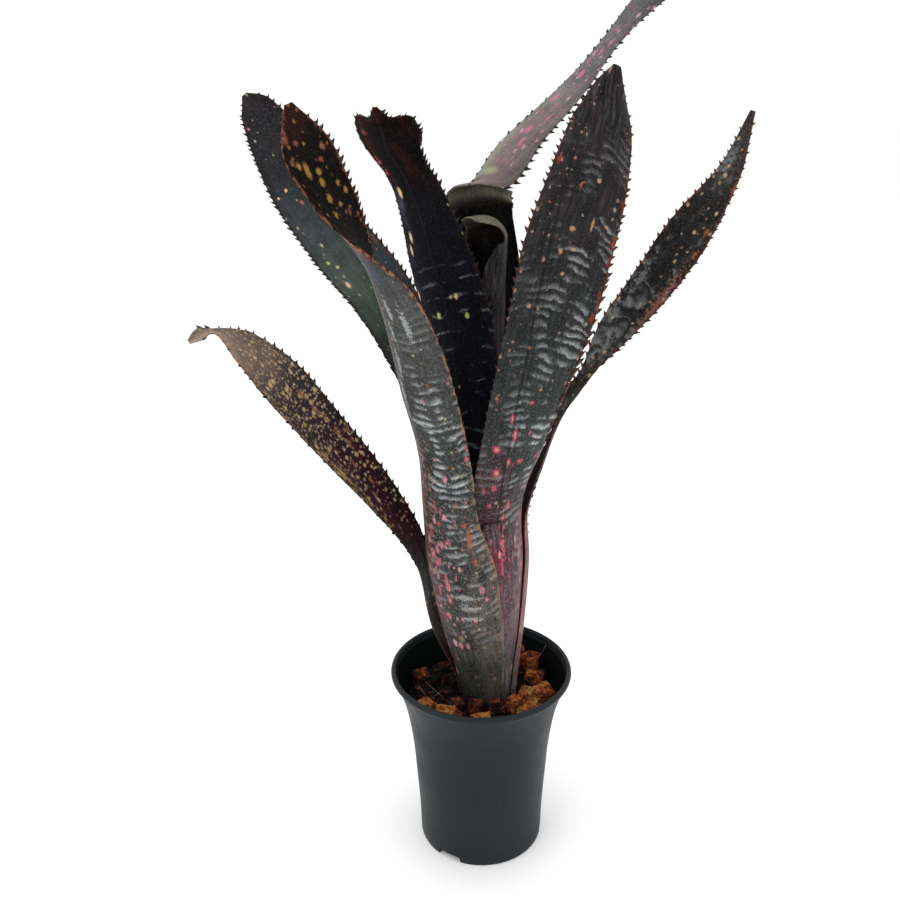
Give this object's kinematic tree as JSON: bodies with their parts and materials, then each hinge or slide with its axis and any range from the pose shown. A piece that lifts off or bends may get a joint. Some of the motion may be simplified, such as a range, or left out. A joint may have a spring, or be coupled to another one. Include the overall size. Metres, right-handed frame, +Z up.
{
  "type": "potted billbergia",
  "caption": "Tall tube-shaped bromeliad with spined, spotted strap leaves, rooted in husk chips in a flared plastic pot with a rolled rim and a notched foot.",
  "frame": {"origin": "on the table, at the pot's own axis", "axes": "+Z up along the pot's axis; the side seen in the picture faces -Y; +X is to its right"},
  "size_m": [0.3196, 0.2143, 0.5728],
  "materials": {
    "pot_plastic": "moulded black plastic, satin outside, glossier inside",
    "coconut_husk": "loose husk chips with fibres, matt",
    "plant_stem": "woody stem, matt",
    "leaf_front_left": "leathery leaf, satin, spotted and banded with scurf",
    "leaf_front_right": "leathery leaf, satin, spotted and banded with scurf",
    "leaf_left": "leathery leaf, satin, maroon with ochre spots",
    "leaf_right": "leathery leaf, satin, spotted",
    "leaf_back_left": "leathery leaf, satin, few cream spots",
    "leaf_centre": "leathery leaf, satin, near black with pale spots",
    "leaf_back_right": "leathery leaf, grey scurf with pink spots",
    "leaf_inner": "leathery leaf, grey scurf",
    "sheath_stub": "leathery sheath, crimson streaks"
  },
  "bodies": {
    "root": {"pot": "pot_plastic", "substrate": "coconut_husk", "stem": "plant_stem", "leaf_front_left": "leaf_front_left", "leaf_front_right": "leaf_front_right", "leaf_left": "leaf_left", "leaf_right": "leaf_right", "leaf_back_left": "leaf_back_left", "leaf_centre": "leaf_centre", "leaf_back_right": "leaf_back_right", "leaf_inner": "leaf_inner", "sheath_stub": "sheath_stub"}
  },
  "joints": []
}
